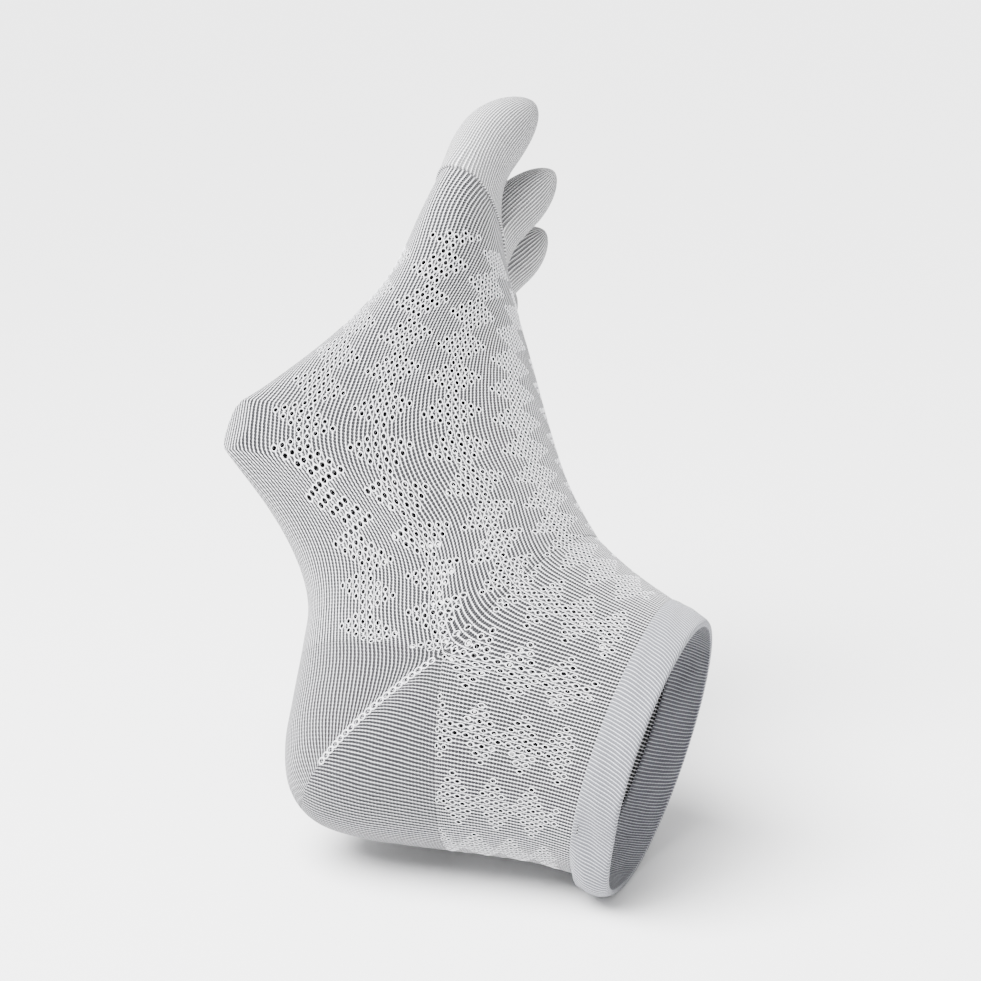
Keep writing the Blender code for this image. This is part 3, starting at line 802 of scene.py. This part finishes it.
# Toe pockets: five plain tubes of the same yarn, each closed at its tip, whose wales run out
# to the tip and draw together there.
TOE_WALES = {"big_toe": 74, "second_toe": 52, "third_toe": 48, "fourth_toe": 46, "little_toe": 40}
TOE_TUBE = ((0.00, 0.12, 0.28, 0.48), (0.00, 0.45, 0.90, 1.00))  # how far it is a round tube
TOE_TAPER = 0.5           # share of a toe where it starts to draw in to its tip
TOE_BLUNT = 0.62          # a half is a round tip and 1 a pointed one
TOE_RINGS = 56
TOE_RING_COURSES = 0.75
TOE_CROWD = 1.15          # how much closer together the rings lie at the tip
TOE_TWIST = {"big_toe": math.radians(20.0)}
BLEND_END = 0.34          # share of a toe over which the foot's surface turns into a tube
ROOT_PULL = 0.55          # how far the toe keeps the foot's own direction
ROOT_SQUARE = 1.5         # how square the outline of a toe's root is
FLOW_SHARE = 0.03         # share of the foot over which its direction is read
TOE_TIGHT = ((0.0, 0.5, 0.8), (0.05, 0.12, 0.8))  # from the root to the tip
TIP_ALLOWANCE = 0.004     # knit that goes round the tip
GIRTH_RING = 20           # the ring whose girth a toe's flat width is
SEAM_RINGS = 9            # rings from the tip that the closing stitches reach
SEAM_CENTRE = 16          # rings from the tip to the point that the stitches face away from
SEAM_STEP = 0.0011
SEAM_LOOP = (0.0005, 0.0006)
SEAM_LOOP_SHARE = 0.4
# A toe's span over the ball, its tip and its sizes are shares as in the foot's table, and its
# middle bows towards the sole.
#                  span           tip: leg   foot   across  thick  wide   bow
TOES = {
    "big_toe": (-0.464, -0.142, -1.022, 0.781, -0.300, 0.104, 0.138, 0.048),
    "second_toe": (-0.142, 0.054, -0.955, 0.748, -0.045, 0.085, 0.093, 0.000),
    "third_toe": (0.054, 0.220, -0.958, 0.696, 0.140, 0.090, 0.090, 0.000),
    "fourth_toe": (0.220, 0.373, -1.030, 0.632, 0.306, 0.087, 0.085, 0.000),
    "little_toe": (0.373, 0.523, -1.070, 0.567, 0.474, 0.080, 0.078, 0.000),
}


def parting_point(across, height):
    """Points in the oval where the toes part, from the sole (-1) to the top (1)."""
    row = FOOT_ROWS[-1]
    share = np.abs(across) / (np.where(across < 0, row[6], row[7]) * BALL_WIDTH)
    full = np.where(height > 0, row[8], row[9])
    reach = np.abs(height) * np.maximum(1 - share ** full, 0) ** (1 / full)
    end = np.where((height > 0)[..., None], row[0:2], row[4:6])
    leg = (row[2] + reach * (end[..., 0] - row[2])) * ANKLE_HEIGHT
    foot = (row[3] + reach * (end[..., 1] - row[3])) * FOOT_LENGTH + row[10] * outward(across)
    return np.stack((leg, foot, across), axis=-1)


def foot_flow(across, height):
    """Which way the foot's surface runs at the parting oval, and how far a point is on it."""
    row = FOOT_ROWS[-1]
    spread = np.where(across < 0, row[6], row[7]) * BALL_WIDTH
    full = np.where(height > 0, row[8], row[9])
    share = np.clip(np.abs(across) / spread, 0, 1) ** (full / 2)
    turn = np.where(height > 0, math.pi - np.arcsin(share), np.arcsin(share)) * -np.sign(across)
    before, after = (section(between(FOOT_ROWS, at), turn) for at in (1.0 - FLOW_SHARE, 1.0))
    edge = np.maximum(np.abs(height) ** 3, np.clip(share * 6 - 5, 0, 1))
    return unit(after - before), edge


def toe_grid(row, columns, twist):
    """Rings from the toe's share of the parting oval to its round tip."""
    inner, outer, tip_leg, tip_foot, tip_across, thick, wide, bow = row
    low, high = inner * BALL_WIDTH, outer * BALL_WIDTH
    middle, half = np.array((low + high) / 2), (high - low) / 2
    zero, one = np.array(0.0), np.array(1.0)
    base = parting_point(middle, zero)
    tip = np.array((tip_leg * ANKLE_HEIGHT, tip_foot * FOOT_LENGTH, tip_across * BALL_WIDTH))
    way = unit(tip - base)
    base_up = unit(parting_point(middle, one) - parting_point(middle, -one))
    tip_up = unit(base_up - base_up.dot(way) * way)
    tip_side = unit(np.cross(tip_up, way))
    base_side = unit(parting_point(np.array(high), zero) - parting_point(np.array(low), zero))
    turn = np.linspace(0, 2 * math.pi, columns, endpoint=False) - twist
    side, up = np.sin(turn), -np.cos(turn)

    def root_line(at):
        sideways = np.clip(ROOT_SQUARE * np.sin(at), -1, 1)
        return middle + half * sideways, -np.clip(ROOT_SQUARE * np.cos(at), -1, 1)

    even = even_turns(lambda at: parting_point(*root_line(at)), 0, 360, columns)[:-1]
    across, square_up = root_line(np.radians(even))
    root = parting_point(across, square_up)
    flow, edge = foot_flow(across, square_up)

    def ring_at(share):
        girth = (1 - max(share / TOE_TAPER - 1, 0) ** 2) ** TOE_BLUNT
        roundness = np.interp(share, *TOE_TUBE)
        spine = base + (tip - base) * share - bow * BALL_WIDTH * math.sin(math.pi * share) * tip_up
        across_way = unit(base_side + share * (tip_side - base_side))
        up_way = unit(base_up + share * (tip_up - base_up))
        knob = (side[:, None] * wide * across_way + up[:, None] * thick * up_way) * BALL_WIDTH * girth
        return spine + root - base + roundness * (knob - root + base)

    little = 0.01
    ends = [ring_at(share) for share in (BLEND_END, BLEND_END + little)]
    leave = edge[:, None] * flow + (1 - edge[:, None]) * way
    leave = leave * np.linalg.norm(ends[0] - root, axis=1)[:, None] * ROOT_PULL
    arrive = (ends[1] - ends[0]) / little * BLEND_END
    rings = []
    for share in 1 - (1 - np.linspace(0, 1, TOE_RINGS + 1)) ** TOE_CROWD:
        if share >= BLEND_END:
            rings.append(ring_at(share))
            continue
        t = share / BLEND_END
        rings.append((1 - smooth(t)) * root + (t ** 3 - 2 * t ** 2 + t) * leave
                     + smooth(t) * ends[0] + (t ** 3 - t ** 2) * arrive)
    return np.array(rings)


# Its second colour is the painted shade in the gaps between the loops.
toe_yarn = knit_yarn("toe_yarn", (0.88, 0.88, 0.91), (0.05, 0.05, 0.053), 0.9, 0.00030)
for toe_name, toe_row in TOES.items():
    toe_wales = TOE_WALES[toe_name]
    grid = place(toe_grid(toe_row, 2 * toe_wales, TOE_TWIST.get(toe_name, 0.0)))
    wale_count, course_count = np.meshgrid(
        np.arange(2 * toe_wales + 1) / 2, np.arange(TOE_RINGS + 1) * TOE_RING_COURSES + FIRST_COURSE)
    toe_tight = np.interp(np.arange(TOE_RINGS + 1) / TOE_RINGS, *TOE_TIGHT)[:, None]
    toe = knit_shell(toe_name + "_knit", grid, (wale_count, course_count), toe_tight, joined=(0,))
    toe.data.materials.append(toe_yarn)
    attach(toe, "root")
    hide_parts(toe_name)
    toe_length = float(np.linalg.norm(grid[-1, 0] - grid[0].mean(axis=0))) + TIP_ALLOWANCE
    girth_line = grid[GIRTH_RING]
    toe_round = float(np.linalg.norm(np.roll(girth_line, 1, axis=0) - girth_line, axis=1).sum())
    quarter = toe_wales // 2
    over_tip = np.concatenate((grid[-SEAM_RINGS:-1, quarter],
                               grid[-2:-SEAM_RINGS - 1:-1, 3 * quarter]))
    tip_facing = unit(over_tip - grid[-SEAM_CENTRE].mean(axis=0))
    tip_chain = chain_along(over_tip, tip_facing, SEAM_STEP, SEAM_LOOP)
    tip_seam = yarn_loops(toe_name + "_seam", *tip_chain, SEAM_LOOP_SHARE, rim_yarn)
    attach(tip_seam, "root")

# Floor: plain white paper, laid flat under the heel.
FLOOR_HALF = 9.0
floor_corners = [(x * FLOOR_HALF, y * FLOOR_HALF, CAD_BOX[0][2])
                 for x, y in ((-1, -1), (1, -1), (1, 1), (-1, 1))]
floor_mesh = bpy.data.meshes.new("floor")
floor_mesh.from_pydata(floor_corners, [], [(0, 1, 2, 3)])
floor = bpy.data.objects.new("floor", floor_mesh)
bpy.context.scene.collection.objects.link(floor)
paper = bpy.data.materials.new("white_paper")
paper.use_nodes = True
paper_surface = paper.node_tree.nodes["Principled BSDF"]
paper_surface.inputs["Base Color"].default_value = (0.80, 0.80, 0.805, 1)
paper_surface.inputs["Roughness"].default_value = 0.9
floor_mesh.materials.append(paper)

# Light: a white room, a very broad soft light from above on the left of the camera, and a
# softbox near the toes.
BOX_TARGET = Vector((-0.06, 0.03, 0.10))
room = bpy.data.worlds.new("room")
room.use_nodes = True
room.node_tree.nodes["Background"].inputs["Color"].default_value = (1.0, 1.0, 1.0, 1.0)
room.node_tree.nodes["Background"].inputs["Strength"].default_value = 1.15
bpy.context.scene.world = room
sky_light = bpy.data.lights.new("overhead", "SUN")
sky_light.energy = 13.5
sky_light.angle = math.radians(50.0)
sky = bpy.data.objects.new("overhead", sky_light)
sky.rotation_euler = Vector((0.30, 0.42, -1.0)).to_track_quat("-Z", "Y").to_euler()
bpy.context.scene.collection.objects.link(sky)
box_light = bpy.data.lights.new("softbox", "AREA")
box_light.size = 0.5
box_light.energy = 11.0
box = bpy.data.objects.new("softbox", box_light)
box.location = (-0.30, -0.28, 0.62)
box.rotation_euler = (BOX_TARGET - box.location).to_track_quat("-Z", "Y").to_euler()
bpy.context.scene.collection.objects.link(box)
